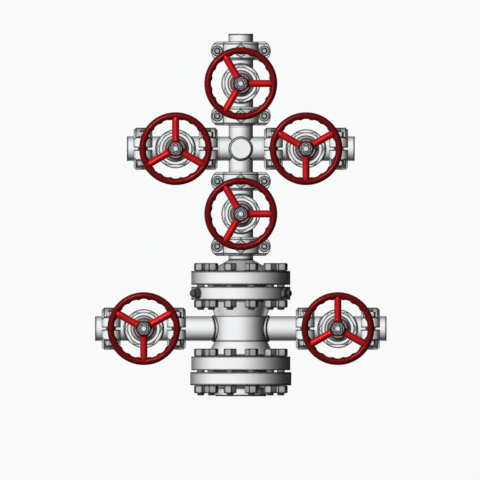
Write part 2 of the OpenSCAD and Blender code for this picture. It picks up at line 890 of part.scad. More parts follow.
module clamp_studs() {
    color(NUT_STEEL) {
        at_trunk_joints() at_clamp_bolts() stud(clamp_stud_half, clamp_stud_d);
        at_wing_joints() at_clamp_bolts() stud(clamp_stud_half, clamp_stud_d);
        at_outlet_joints() at_clamp_bolts() stud(clamp_stud_half, clamp_stud_d);
    }
}

module clamp_nuts() {
    color(NUT_STEEL) {
        at_trunk_joints() at_clamp_bolts() clamp_nut_pair();
        at_wing_joints() at_clamp_bolts() clamp_nut_pair();
        at_outlet_joints() at_clamp_bolts() clamp_nut_pair();
    }
}

// Flange studs, nuts and rings

// Lower and upper face of each bolted pair of flanges
JOINT_FACES = [
    [spool_h, head_z + head_low_t],
    [head_top - head_top_t, adapter_z + adapter_flange_t]
];

module flange_studs() {
    color(NUT_STEEL)
        for (f = JOINT_FACES) {
            low = f[0] - nut_h - stud_end;
            high = f[1] + nut_h - stud_sunk;
            on_bolt_circle()
                translate([0, 0, (low + high) / 2]) stud((high - low) / 2, stud_d);
        }
}

module flange_nut() {
    rotate([0, 0, flange_nut_turn])
        difference() {
            hexagon_prism(nut_af, nut_h);
            translate([0, 0, -over])
                cylinder(h = nut_h + 2 * over, r = stud_d / 2 + thread_gap);
        }
}

module flange_nuts() {
    color(NUT_STEEL)
        for (f = JOINT_FACES)
            on_bolt_circle() {
                translate([0, 0, f[0] - nut_h]) flange_nut();
                translate([0, 0, f[1]]) flange_nut();
            }
}

module ring_gaskets() {
    color(DARK_STEEL)
        for (z = [base_top, head_top])
            translate([0, 0, z + flange_gap / 2]) rotate_extrude() ring_section(0);
}

casing_spool();
tubing_head();
head_adapter();
flow_cross();
top_valve_body();
master_valve_body();
left_wing_valve_body();
right_wing_valve_body();
left_outlet_valve_body();
right_outlet_valve_body();
top_bonnet();
master_bonnet();
left_wing_bonnet();
right_wing_bonnet();
left_outlet_bonnet();
right_outlet_bonnet();
bonnet_nuts();
top_handwheel();
master_handwheel();
left_wing_handwheel();
right_wing_handwheel();
left_outlet_handwheel();
right_outlet_handwheel();
top_stem();
master_stem();
left_wing_stem();
right_wing_stem();
left_outlet_stem();
right_outlet_stem();
top_wheel_nut();
master_wheel_nut();
left_wing_wheel_nut();
right_wing_wheel_nut();
left_outlet_wheel_nut();
right_outlet_wheel_nut();
end_stubs();
trunk_clamps();
wing_clamps();
outlet_clamps();
clamp_studs();
clamp_nuts();
flange_studs();
flange_nuts();
ring_gaskets();
lock_screws();
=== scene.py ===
"""Looks of a gas wellhead valve stack: steel finishes, threads, nuts and handwheels.

Lengths are in metres. Z points up, X to the right and -Y to the viewer."""

import math

import bmesh
import bpy
from mathutils import Matrix, Vector


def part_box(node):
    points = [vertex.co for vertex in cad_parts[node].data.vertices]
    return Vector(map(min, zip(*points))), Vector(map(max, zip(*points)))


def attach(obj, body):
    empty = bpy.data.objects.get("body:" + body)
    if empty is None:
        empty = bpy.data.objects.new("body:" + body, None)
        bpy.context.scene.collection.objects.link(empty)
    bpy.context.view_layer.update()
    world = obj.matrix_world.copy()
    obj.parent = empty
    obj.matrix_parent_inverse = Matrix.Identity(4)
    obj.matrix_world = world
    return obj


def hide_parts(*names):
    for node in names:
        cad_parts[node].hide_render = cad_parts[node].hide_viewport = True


bl_info = {
    "name": "Wellhead Valve Stack",
    "version": (1, 0, 0),
    "blender": (4, 5, 0),
    "location": "View3D > Sidebar > Wellhead",
    "description": "Dresses a valve stack with steel finishes, threads, nuts and handwheels",
    "category": "Object",
}

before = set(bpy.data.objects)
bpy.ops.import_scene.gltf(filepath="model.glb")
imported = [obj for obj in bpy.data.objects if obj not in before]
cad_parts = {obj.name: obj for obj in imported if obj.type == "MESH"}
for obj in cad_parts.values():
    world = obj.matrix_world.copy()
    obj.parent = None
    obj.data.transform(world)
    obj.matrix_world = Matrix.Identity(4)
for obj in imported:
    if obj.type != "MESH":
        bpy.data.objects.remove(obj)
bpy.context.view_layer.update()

# Names and directions in the frame

VALVES = ("top", "master", "left_wing", "right_wing", "left_outlet", "right_outlet")
STACK = "stack"
ORIGIN = (0, 0, 0)
Z_AXIS = (0, 0, 1)
SAME_SPACE = Matrix.Identity(4)
TO_FRONT = Matrix.Rotation(math.radians(90), 4, "X")
ALONG_ARM = Matrix.Rotation(math.radians(90), 4, "Y")
FACE_FRONT = (math.radians(90), 0, 0)

# Meshes

# Distances within which points merge, and within which a point lies on a face
MERGE = 1e-6
ON_FACE = 1e-5
SMOOTH_BELOW = math.radians(32)
# Steps of a full turn
STUD_STEPS = 24
SCREW_STEPS = 32
NUT_STEPS = 36
STEM_STEPS = 40
SPOKE_STEPS = 28
HUB_STEPS = 64

# Handwheels

# Angle of the first spoke, in degrees
FIRST_SPOKE = {
    "top": 0, "master": 0, "left_wing": 90,
    "right_wing": 30, "left_outlet": 30, "right_outlet": 90,
}
SPOKES = 3
RIM_SEGMENTS = 24
STEPS_PER_GRIP = 14
GRIP_HALF_WIDTH = math.radians(7)
FILLET_STEPS = 5
# A spoke starts at a share of the hub's radius, swells from just inside it and ends in the rim
SPOKE_START = 0.6
SPOKE_INTO_HUB = 0.001
SPOKE_INTO_RIM = 0.008
HUB_EDGE = 0.003
HUB_PLAY = 0.0001
# The rim attribute, which is 0 on the spokes
ON_RIM = 1
ON_HUB = 2

# Stems, studs, nuts and screws

STEM_RADIUS = 0.015
STEM_END_RADIUS = 0.012
STEM_SHOULDER = 0.003
STEM_THREAD_START = 0.018
CHAMFER = 0.0035
FIT = 0.00005
# Depth and crest of a thread, as shares of its pitch
THREAD_DEPTH = 0.55
THREAD_CREST = (0.42, 0.58)
STUD_THREAD = 0.012
NUT_FLATS = 0.036
# Radius of a nut's end face, as a share of its flats, and its share of the edges' rounding
NUT_FACE = 0.475
NUT_ROUND = 0.6
COUNTERSINK = 0.0012
# Radius and thickness
WHEEL_NUT_WASHER = (0.025, 0.005)
CLAMP_WASHER = 0.003
WASHER_EDGE = 0.0006
GLAND_HEIGHT = 0.016
SCREW_RADIUS = 0.012
SCREW_END_RADIUS = 0.015
SCREW_END = 0.017
SCREW_NECK = 0.001

# Bonnets

# Length of the primed end, and a height that no piece reaches
CAP_LENGTH = 0.02
NO_CAP = 1.0

# Camera and floor

PICTURE_WIDTH = 480
# Width of the stack that one pixel shows
PIXEL = 0.003835
CAMERA_PLACE = (-0.0031, -6, 0.5994)
AIM = Vector((0, 0, 0.7))
FLOOR_REACH = 30
FLOOR_GLOW = 0.6
FLOOR_TONES = (0.39, 0.4)

# Light that the steel mirrors

SKY_STRENGTH = 0.1
FLAG_RADIUS = 45
CLOTH = (0.004, 0.004, 0.004)
# The flag opens toward a side, between two parts of a direction that point there
OPEN_SIDE = (-0.51, -0.677, 0.4)
OPEN_FROM, OPEN_TO, OPEN_CURVE = -0.85, 0.72, 1.6
# Share of light in the strip at the back, and where the strip fades in and out
BOUNCE = 0.45
BOUNCE_BACK = (0.3, 0.6)
BOUNCE_TOP = (0.07, 0.25)
BOUNCE_FOOT = (0.45, 0.8)


# Sizes and colours a user would change


class WellheadSizes(bpy.types.PropertyGroup):
    """Sizes of the small shapes that the solids leave plain"""

    thread_pitch: bpy.props.FloatProperty(
        name="Thread Pitch", description="Distance from one thread crest to the next",
        default=0.003, min=0.001, max=0.006, unit="LENGTH")
    edge_round: bpy.props.FloatProperty(
        name="Edge Round", description="Rounding of the edges of nuts and handwheel hubs",
        default=0.0008, min=0.0002, max=0.003, unit="LENGTH")
    nut_chamfer: bpy.props.FloatProperty(
        name="Nut Chamfer", description="Slope of the chamfer across the corners of a nut",
        default=math.radians(30), min=math.radians(15), max=math.radians(45), unit="ROTATION")
    grip_count: bpy.props.IntProperty(
        name="Finger Grips", description="Number of finger grips inside a handwheel's rim",
        default=18, min=6, max=36)
    grip_rise: bpy.props.FloatProperty(
        name="Grip Rise", description="Height of a finger grip above the inside of the rim",
        default=0.0038, min=0.0, max=0.008, unit="LENGTH")
    rim_thickness: bpy.props.FloatProperty(
        name="Rim Thickness", description="Thickness of a handwheel's rim",
        default=0.026, min=0.015, max=0.035, unit="LENGTH")
    spoke_thickness: bpy.props.FloatProperty(
        name="Spoke Thickness", description="Thickness of a handwheel's spokes",
        default=0.028, min=0.012, max=0.034, unit="LENGTH")
    hub_radius: bpy.props.FloatProperty(
        name="Hub Radius", description="Radius of a handwheel's hub",
        default=0.03, min=0.02, max=0.05, unit="LENGTH")
    spoke_fillet: bpy.props.FloatProperty(
        name="Spoke Fillet", description="Swelling of a spoke where it meets the hub",
        default=0.004, min=0.001, max=0.01, unit="LENGTH")


class WellheadColours(bpy.types.PropertyGroup):
    """Colours of the finishes"""

    body_steel: bpy.props.FloatVectorProperty(
        name="Body Steel", description="Pale steel of spools, valves and clamps",
        subtype="COLOR", default=(0.97, 0.973, 0.976), min=0, max=1)
    nut_steel: bpy.props.FloatVectorProperty(
        name="Nut Steel", description="Steel of the nuts on the flanges and handwheels",
        subtype="COLOR", default=(0.5, 0.505, 0.51), min=0, max=1)
    bar_steel: bpy.props.FloatVectorProperty(
        name="Bar Steel", description="Bright steel of the stems and the clamps' nuts",
        subtype="COLOR", default=(0.87, 0.875, 0.88), min=0, max=1)
    stud_steel: bpy.props.FloatVectorProperty(
        name="Stud Steel", description="Steel of the studs",
        subtype="COLOR", default=(0.5, 0.505, 0.51), min=0, max=1)
    dark_steel: bpy.props.FloatVectorProperty(
        name="Dark Steel", description="Dark steel of the lock screws and ring gaskets",
        subtype="COLOR", default=(0.16, 0.165, 0.17), min=0, max=1)
    primer: bpy.props.FloatVectorProperty(
        name="Primer", description="Dull primer on the bonnets' ends, behind the handwheels",
        subtype="COLOR", default=(0.34, 0.2, 0.2), min=0, max=1)
    # Painted shade: the seams and corners of the steel are painted this dark colour where shade
    # falls in them.
    seam_shade: bpy.props.FloatVectorProperty(
        name="Seam Shade", description="Dust and oil in the seams",
        subtype="COLOR", default=(0.05, 0.047, 0.042), min=0, max=1)
    line: bpy.props.FloatVectorProperty(
        name="Line", description="Dark line that dirt leaves along the edges of the steel",
        subtype="COLOR", default=(0.02, 0.02, 0.022), min=0, max=1)
    wheel_red: bpy.props.FloatVectorProperty(
        name="Wheel Red", description="Gloss paint of the handwheels' spokes",
        subtype="COLOR", default=(0.5, 0.007, 0.01), min=0, max=1)
    # Painted shade: the rims get a darker copy of the wheel red.
    rim_shaded_red: bpy.props.FloatVectorProperty(
        name="Rim Red", description="Deeper paint of the handwheels' rims",
        subtype="COLOR", default=(0.14, 0.002, 0.003), min=0, max=1)
    # Painted shade: the hubs get a near-black copy of the wheel red.
    hub_shaded_red: bpy.props.FloatVectorProperty(
        name="Hub Red", description="Near-black paint of the handwheels' hubs",
        subtype="COLOR", default=(0.04, 0.001, 0.001), min=0, max=1)
    worn_red: bpy.props.FloatVectorProperty(
        name="Worn Red", description="Darker clouds in the handwheels' paint",
        subtype="COLOR", default=(0.12, 0.002, 0.002), min=0, max=1)
    red_line: bpy.props.FloatVectorProperty(
        name="Red Line", description="Dark line along the edges of the paint",
        subtype="COLOR", default=(0.02, 0.001, 0.001), min=0, max=1)
    # Painted shade: the handwheels' corners are painted this dark colour where shade falls in
    # them.
    red_seam_shade: bpy.props.FloatVectorProperty(
        name="Red Seam Shade", description="Dirt in the corners of the handwheels",
        subtype="COLOR", default=(0.012, 0.001, 0.001), min=0, max=1)
    floor: bpy.props.FloatVectorProperty(
        name="Floor", description="Pale floor and background",
        subtype="COLOR", default=(0.945, 0.95, 0.957), min=0, max=1)


def colours():
    """The colours as the sidebar has them."""
    return bpy.context.scene.wellhead_colours


def sizes():
    """The sizes as the sidebar has them."""
    return bpy.context.scene.wellhead_sizes


# Shader maths


class Value:
    """A socket of a node tree that can stand in a sum."""

    def __init__(self, nodes, socket):
        self.nodes = nodes
        self.socket = socket

    def _math(self, operation, a, b):
        return self.nodes.node("ShaderNodeMath", {"operation": operation}, {0: a, 1: b})

    def __add__(self, other):
        return self._math("ADD", self, other)

    def __radd__(self, other):
        return self._math("ADD", other, self)

    def __sub__(self, other):
        return self._math("SUBTRACT", self, other)

    def __rsub__(self, other):
        return self._math("SUBTRACT", other, self)

    def __mul__(self, other):
        return self._math("MULTIPLY", self, other)

    def __rmul__(self, other):
        return self._math("MULTIPLY", other, self)

    def __truediv__(self, other):
        return self._math("DIVIDE", self, other)

    def __rtruediv__(self, other):
        return self._math("DIVIDE", other, self)

    def __pow__(self, other):
        return self._math("POWER", self, other)


class Nodes:
    """A node tree written as expressions on values."""

    def __init__(self, tree):
        self.tree = tree

    def link(self, value, socket):
        """Joins a value to a socket."""
        self.tree.links.new(value.socket, socket)

    def node(self, kind, settings=None, inputs=None, output=0):
        """Adds a node, sets it up, feeds its sockets and returns one output."""
        made = self.tree.nodes.new(kind)
        for key, value in (settings or {}).items():
            setattr(made, key, value)
        for key, value in (inputs or {}).items():
            if isinstance(value, Value):
                self.link(value, made.inputs[key])
            else:
                made.inputs[key].default_value = value
        return Value(self, made.outputs[output])

    def rays(self):
        """1 for each kind of ray that sees the background: camera, glossy, transmission."""
        return [self.node("ShaderNodeLightPath", output=kind)
                for kind in ("Is Camera Ray", "Is Glossy Ray", "Is Transmission Ray")]


class Finish(Nodes):
    """A material written as expressions on values."""

    def __init__(self, name, **fixed):
        self.material = bpy.data.materials.new(name)
        self.material.use_nodes = True
        super().__init__(self.material.node_tree)
        self.shader = self.tree.nodes["Principled BSDF"]
        for socket, value in fixed.items():
            self.shader.inputs[socket.replace("_", " ")].default_value = value

    def feed(self, socket, value):
        """Lets a value drive a socket of the shader."""
        self.link(value, self.shader.inputs[socket])

    def fade(self, share):
        """Lets a share of the light pass straight through."""
        solid = Value(self, self.shader.outputs[0])
        clear = self.node("ShaderNodeBsdfTransparent")
        mixed = self.node("ShaderNodeMixShader", None, {"Fac": share, 1: solid, 2: clear})
        self.link(mixed, self.tree.nodes["Material Output"].inputs["Surface"])

    def place(self, centre=ORIGIN, turn=ORIGIN):
        """Object coordinates, centred and turned so that a piece's own axis is Z."""
        here = self.node("ShaderNodeTexCoord", output="Object")
        return self.node("ShaderNodeMapping", {"vector_type": "TEXTURE"},
                         {"Vector": here, "Location": centre, "Rotation": turn})

    def stretch(self, point, shares):
        """A point whose coordinates are multiplied by three shares."""
        return self.node("ShaderNodeVectorMath", {"operation": "MULTIPLY"},
                         {0: point, 1: shares})

    def along(self, point, axis):
        """One coordinate of a point: X, Y or Z."""
        return self.node("ShaderNodeSeparateXYZ", None, {0: point}, output=axis)

    def dot(self, a, b):
        """The dot product of two directions."""
        return self.node("ShaderNodeVectorMath", {"operation": "DOT_PRODUCT"},
                         {0: a, 1: b}, output="Value")

    def noise(self, point, size, detail=3, roughness=0.5):
        """Clouds or grains of about the size given, around 0.5."""
        return self.node("ShaderNodeTexNoise", None, {
            "Vector": point, "Scale": 1 / size, "Detail": detail, "Roughness": roughness})

    def ramp(self, value, low, high, kind="SMOOTHSTEP"):
        """0 where a value is at or below low, 1 where it is at or above high."""
        return self.node("ShaderNodeMapRange", {"interpolation_type": kind}, {
            "Value": value, "From Min": low, "From Max": high, "To Min": 0, "To Max": 1})

    def mix(self, share, a, b):
        """Colour a turning into colour b."""
        first, second = [c if isinstance(c, Value) else (*c, 1) for c in (a, b)]
        return self.node("ShaderNodeMix", {"data_type": "RGBA"},
                         {0: share, 6: first, 7: second}, output=2)

    def turning_marks(self, point, spacing):
        """Fine rings round Z, as a lathe tool leaves them on faces and walls."""
        radius = self.node("ShaderNodeVectorMath", {"operation": "LENGTH"},
                           {0: self.stretch(point, (1, 1, 0))}, output="Value")
        height = self.along(point, "Z")
        return self.node("ShaderNodeTexNoise", {"noise_dimensions": "1D"},
                         {"W": (radius + height) / spacing, "Scale": 1, "Detail": 2})

    def rounded_normal(self, radius, samples=4):
        """The surface's normal, with edges rounded by a radius."""
        return self.node("ShaderNodeBevel", {"samples": samples}, {"Radius": radius})

    def edges(self, reach):
        """1 along sharp edges, fading to 0 on flat faces."""
        sharp = self.node("ShaderNodeNewGeometry", output="Normal")
        match = self.dot(self.rounded_normal(reach, samples=10), sharp)
        return self.ramp(1 - match, low=0.001, high=0.004)

    def seams(self, reach):
        """1 deep in seams and corners, 0 in the open."""
        open_sky = self.node("ShaderNodeAmbientOcclusion", {"samples": 6},
                             {"Distance": reach}, output="AO")
        return self.ramp(1 - open_sky, low=0.3, high=0.62)

    def bump(self, height, distance, normal):
        """A normal that follows a height, measured from another normal."""
        return self.node("ShaderNodeBump", None, {
            "Height": height, "Distance": distance, "Strength": 1, "Normal": normal})


def darker(colour, share):
    """A colour at a share of its lightness."""
    return [share * c for c in colour]


def swing(noise, reach):
    """A noise that swings about 0, by half its reach each way."""
    return (noise - 0.5) * reach


# Finishes


def machined_steel(name, line, seam, centre=ORIGIN, turn=ORIGIN, rings=0.0006, cap=NO_CAP):
    """Pale steel turned on a lathe: fine rings, soft stains, painted shade in the seams.

    The line is how far a dark edge reaches, and the seam how far the painted shade does.
    Beyond the height of a cap along Z, it carries a thin coat of primer."""
    f = Finish(name, Metallic=1.0)
    colour = colours().body_steel
    point = f.place(centre, turn)
    cloud = f.noise(point, size=0.09, detail=4)
    speck = f.noise(point, size=0.0022, detail=2)
    marks = f.turning_marks(point, rings)
    rounded = f.rounded_normal(0.0012)
    edge = f.edges(line)
    seam_shade_mask = f.seams(seam)
    tone = f.mix(f.ramp(cloud, 0.35, 0.7), darker(colour, 0.96), colour)
    tone = f.mix(marks * 0.06, tone, darker(colour, 0.75))
    primed = f.ramp(f.along(point, "Z"), cap, cap + 0.0002)
    tone = f.mix(primed * (0.9 + speck * 0.1), tone, colours().primer)
    tone = f.mix(edge * 0.97, tone, colours().line)
    # Painted shade: the seams and corners are darkened toward the seam shade colour.
    f.feed("Base Color", f.mix(seam_shade_mask * 0.85, tone, colours().seam_shade))
    f.feed("Roughness", 0.3 + swing(cloud, 0.08) + swing(speck, 0.05)
           - edge * 0.1 + seam_shade_mask * 0.3)
    f.feed("Normal", f.bump(marks * 0.6 + speck * 0.4, distance=0.000015, normal=rounded))
    return f.material


def forged_steel(name, line):
    """Blasted and plated forging: fine even grain, a few shallow dimples, dark edges."""
    f = Finish(name, Metallic=1.0)
    colour = colours().body_steel
    point = f.place()
    cloud = f.noise(point, size=0.06, detail=4)
    grain = f.noise(point, size=0.0016, roughness=0.6)
    dimple = f.node("ShaderNodeTexVoronoi", {"feature": "SMOOTH_F1"},
                    {"Vector": point, "Scale": 190, "Smoothness": 0.6})
    rounded = f.rounded_normal(0.002)
    edge = f.edges(line)
    seam = f.seams(0.006)
    tone = f.mix(f.ramp(cloud, 0.35, 0.7), darker(colour, 0.97), colour)
    tone = f.mix(f.ramp(grain, 0.5, 0.8) * 0.05, tone, darker(colour, 0.8))
    tone = f.mix(edge * 0.97, tone, colours().line)
    # Painted shade: the seams and corners are darkened toward the seam shade colour.
    f.feed("Base Color", f.mix(seam * 0.8, tone, colours().seam_shade))
    f.feed("Roughness", 0.29 + swing(cloud, 0.1) + swing(grain, 0.08)
           - edge * 0.1 + seam * 0.3)
    f.feed("Normal", f.bump(grain * 0.4 + dimple * 0.6, distance=0.00004, normal=rounded))
    return f.material


def plain_steel(name, colour, roughness, line, seam_shade_reach=0.01):
    """Small turned and milled parts: tool marks, dark edges, painted shade in the corners.

    The last number is how far the painted shade reaches out of a corner."""
    f = Finish(name, Metallic=1.0)
    point = f.place()
    cloud = f.noise(point, size=0.03, detail=4)
    streak = f.noise(f.stretch(point, (1, 1, 8)), size=0.0025)
    rounded = f.rounded_normal(0.0006)
    edge = f.edges(line)
    seam = f.seams(seam_shade_reach)
    tone = f.mix(f.ramp(cloud, 0.3, 0.7), darker(colour, 0.92), colour)
    tone = f.mix(edge * 0.96, tone, colours().line)
    # Painted shade: the seams and corners are darkened toward the seam shade colour.
    f.feed("Base Color", f.mix(seam * 0.9, tone, colours().seam_shade))
    f.feed("Roughness", roughness + swing(cloud, 0.25) + swing(streak, 0.12)
           - edge * 0.1 + seam * 0.25)
    f.feed("Normal", f.bump(streak, distance=0.00004, normal=rounded))
    return f.material


def wheel_paint(name):
    """Gloss paint over a casting: soft orange peel, with painted shade that makes it deeper on
    the rim, darkest on the hub and dark in the corners.
    """
    f = Finish(name, Metallic=0.85, Specular_IOR_Level=0.1,
               Coat_Weight=0.08, Coat_Roughness=0.2)
    point = f.place()
    peel = f.noise(point, size=0.0035, detail=2)
    casting = f.noise(point, size=0.011)
    cloud = f.noise(point, size=0.07)
    part = f.node("ShaderNodeAttribute", {"attribute_name": "rim"}, output="Fac")
    rounded = f.rounded_normal(0.0012)
    edge = f.edges(0.0015)
    seam = f.seams(0.014)
    # Painted shade: the rim and the hub take darker copies of the spokes' red.
    tone = f.mix(part, colours().wheel_red, colours().rim_shaded_red)
    tone = f.mix(f.ramp(part, ON_RIM, ON_HUB, "LINEAR"), tone, colours().hub_shaded_red)
    tone = f.mix(f.ramp(cloud, 0.55, 0.8) * 0.25, tone, colours().worn_red)
    tone = f.mix(edge * 0.9, tone, colours().red_line)
    # Painted shade: the corners are darkened toward a near-black red.
    f.feed("Base Color", f.mix(seam * 0.9, tone, colours().red_seam_shade))
    f.feed("Roughness", 0.33 + swing(cloud, 0.1) + seam * 0.3)
    f.feed("Normal", f.bump(peel * 0.35 + casting * 0.65, distance=0.00022, normal=rounded))
    return f.material


def painted_pieces():
    """The collection of the pieces that the gleam lamp shines on."""
    name = "painted_pieces"
    return bpy.data.collections.get(name) or bpy.data.collections.new(name)


# Shapes


def spin(bm, geometry, steps):
    """A full turn about Z."""
    bmesh.ops.spin(bm, geom=geometry, cent=ORIGIN, axis=Z_AXIS, dvec=ORIGIN, angle=math.tau,
                   steps=steps, use_merge=True, use_normal_flip=False, use_duplicate=False)


def raise_all(bm, height):
    """Moves a whole bmesh along Z."""
    bmesh.ops.translate(bm, verts=bm.verts, vec=(0, 0, height), space=SAME_SPACE)


def lathe(bm, outline, steps, closed=False):
    """Spins an outline of (radius, height) points about Z and returns its vertices."""
    before = set(bm.verts)
    points = [bm.verts.new((radius, 0, height)) for radius, height in outline]
    ends = points[1:] + points[:1] if closed else points[1:]
    lines = [bm.edges.new(pair) for pair in zip(points, ends)]
    spin(bm, points + lines, steps)
    made = [v for v in bm.verts if v not in before]
    bmesh.ops.remove_doubles(bm, verts=made, dist=MERGE)
    return [v for v in bm.verts if v not in before]


def soften(bm, verts, width, above=40):
    """Rounds the edges between some vertices that are sharper than an angle in degrees."""
    inside = set(verts)
    sharp = [e for e in bm.edges
             if e.verts[0] in inside and e.verts[1] in inside and len(e.link_faces) == 2
             and e.calc_face_angle() > math.radians(above)]
    bmesh.ops.bevel(bm, geom=sharp, offset=width, offset_type="OFFSET", segments=2,
                    profile=0.5, affect="EDGES", clamp_overlap=True, material=-1)


def thread(start, end, radius):
    """Outline of a thread along a bar, from one height to another."""
    pitch = sizes().thread_pitch
    root = radius - THREAD_DEPTH * pitch
    outline = []
    height = start
    while height + pitch <= end + MERGE:
        outline.append((root, height))
        outline += [(radius, height + share * pitch) for share in THREAD_CREST]
        height += pitch
    return outline + [(root, height)]


def threaded_bar(half, radius, shown):
    """A stud along Z with a thread at both ends."""
    start, end = half - CHAMFER - shown, half - CHAMFER
    outline = [(radius, start), *thread(start, end, radius), (radius - CHAMFER, half), (0, half)]
    mirrored = [(r, -h) for r, h in reversed(outline)]
    bm = bmesh.new()
    lathe(bm, mirrored + outline, STUD_STEPS)
    return bm


def hexagon_reach(angle, across_flats):
    """Distance from the middle of a hexagon to its side, at an angle."""
    sector = math.radians(60)
    return across_flats / 2 / math.cos((angle % sector) - sector / 2)


def nut(across_flats, height, hole, washer=None):
    """A hexagon nut on Z with chamfered corners and a countersunk hole.

    A washer face, where it has one, is given by its radius and its thickness."""
    bm = bmesh.new()
    face = NUT_FACE * across_flats
    slope = math.tan(sizes().nut_chamfer)
    outline = [(hole, COUNTERSINK), (hole + COUNTERSINK, 0), (face, 0),
               (across_flats, 0.3 * height), (across_flats, 0.7 * height),
               (face, height), (hole + COUNTERSINK, height), (hole, height - COUNTERSINK)]
    # The two outer rings move in to the hexagon, each to the edge of its chamfer
    for vert in lathe(bm, outline, NUT_STEPS, closed=True):
        if vert.co.xy.length > (face + across_flats) / 2:
            reach = hexagon_reach(math.atan2(vert.co.y, vert.co.x), across_flats)
            drop = (reach - face) * slope
            vert.co.xy = vert.co.xy.normalized() * reach
            vert.co.z = drop if vert.co.z < height / 2 else height - drop
    soften(bm, bm.verts, sizes().edge_round * NUT_ROUND)
    if washer:
        radius, thickness = washer
        lathe(bm, [(hole, 0), (radius, 0), (radius, thickness - WASHER_EDGE),
                   (radius - WASHER_EDGE, thickness), (hole, thickness)],
              NUT_STEPS, closed=True)
    return bm


def joined(template, places):
    """One bmesh that holds a copy of a template at each place."""
    pattern = bpy.data.meshes.new("pattern")
    template.to_mesh(pattern)
    template.free()
    whole = bmesh.new()
    for place in places:
        copy = pattern.copy()
        copy.transform(place)
        whole.from_mesh(copy)
        bpy.data.meshes.remove(copy)
    bpy.data.meshes.remove(pattern)
    return whole


def finish_piece(name, bm, material, body, slot, *nodes):
    """Turns a bmesh into a piece that rides on a body and stands for CAD nodes."""
    # The faces' own normals are out of date once a piece has been put in its place
    bm.normal_update()
    bmesh.ops.recalc_face_normals(bm, faces=bm.faces)
    mesh = bpy.data.meshes.new(name)
    bm.to_mesh(mesh)
    bm.free()
    mesh.shade_smooth()
    mesh.set_sharp_from_angle(angle=SMOOTH_BELOW)
    mesh.materials.append(material)
    piece = bpy.data.objects.new(name, mesh)
    piece.visible_glossy = False
    bpy.context.scene.collection.objects.link(piece)
    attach(piece, body)
    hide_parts(*nodes)
    return piece


def dress(node, material):
    """Gives a CAD node its finish."""
    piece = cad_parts[node]
    piece.data.materials.clear()
    piece.data.materials.append(material)
    piece.visible_glossy = False


# Places, worked out from the frame


def middle(node):
    """The middle of a CAD node's box."""
    low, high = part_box(node)
    return (low + high) / 2


def from_back(node):
    """Distances toward the viewer at which a CAD node starts and ends."""
    low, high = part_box(node)
    return -high.y, -low.y


def wheel_place(valve):
    """Frame of a handwheel: Z toward the front, X along its first spoke."""
    low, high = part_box(valve + "_stem")
    centre = Vector(((low.x + high.x) / 2, 0, (low.z + high.z) / 2))
    return (Matrix.Translation(centre) @ TO_FRONT
            @ Matrix.Rotation(math.radians(FIRST_SPOKE[valve]), 4, "Z"))


def solids(node):
    """The corner points of each separate solid of a CAD node."""
    bm = bmesh.new()
    bm.from_mesh(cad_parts[node].data)
    bmesh.ops.remove_doubles(bm, verts=bm.verts, dist=MERGE)
    waiting = dict.fromkeys(bm.verts)
    found = []
    while waiting:
        front = [waiting.popitem()[0]]
        points = []
        while front:
            vert = front.pop()
            points.append(vert.co.copy())
            near = [e.other_vert(vert) for e in vert.link_edges]
            front += [v for v in near if v in waiting]
            for v in near:
                waiting.pop(v, None)
        found.append(points)
    bm.free()
    return found


class Bolts:
    """Sizes and frames of the like bolts or nuts of a CAD node.

    Z of a frame points outward along the bolt, and X to a corner of the outer end."""

    def __init__(self, node):
        self.frames = []
        for points in solids(node):
            low = Vector(min(p[k] for p in points) for k in range(3))
            high = Vector(max(p[k] for p in points) for k in range(3))
            centre = (low + high) / 2
            axis = self.odd_axis(high - low)
            reach, corner, way = min((self.end(points, centre, way) for way in (axis, -axis)),
                                     key=lambda end: round(end[0], 5))
            self.half = (high - low).dot(axis) / 2
            self.face_radius = reach
            self.radius = max((p - centre).cross(axis).length for p in points)
            side = (corner - corner.project(way)).normalized()
            turn = Matrix((side, way.cross(side), way)).transposed().to_4x4()
            self.frames.append(Matrix.Translation(centre) @ turn)

    def odd_axis(self, spans):
        """The axis along which a box measures unlike the other two."""
        short, mean, long = sorted(range(3), key=lambda k: spans[k])
        odd = short if spans[mean] - spans[short] > spans[long] - spans[mean] else long
        return Vector(float(k == odd) for k in range(3))

    def end(self, points, centre, way):
        """Radius of one end of a bolt, the corner that has it, and the way it faces."""
        far = max(p.dot(way) for p in points)
        face = [p - centre for p in points if p.dot(way) > far - ON_FACE]
        corner = max(face, key=lambda p: p.cross(way).length)
        return corner.cross(way).length, corner, way


# Operators, one for each group of pieces


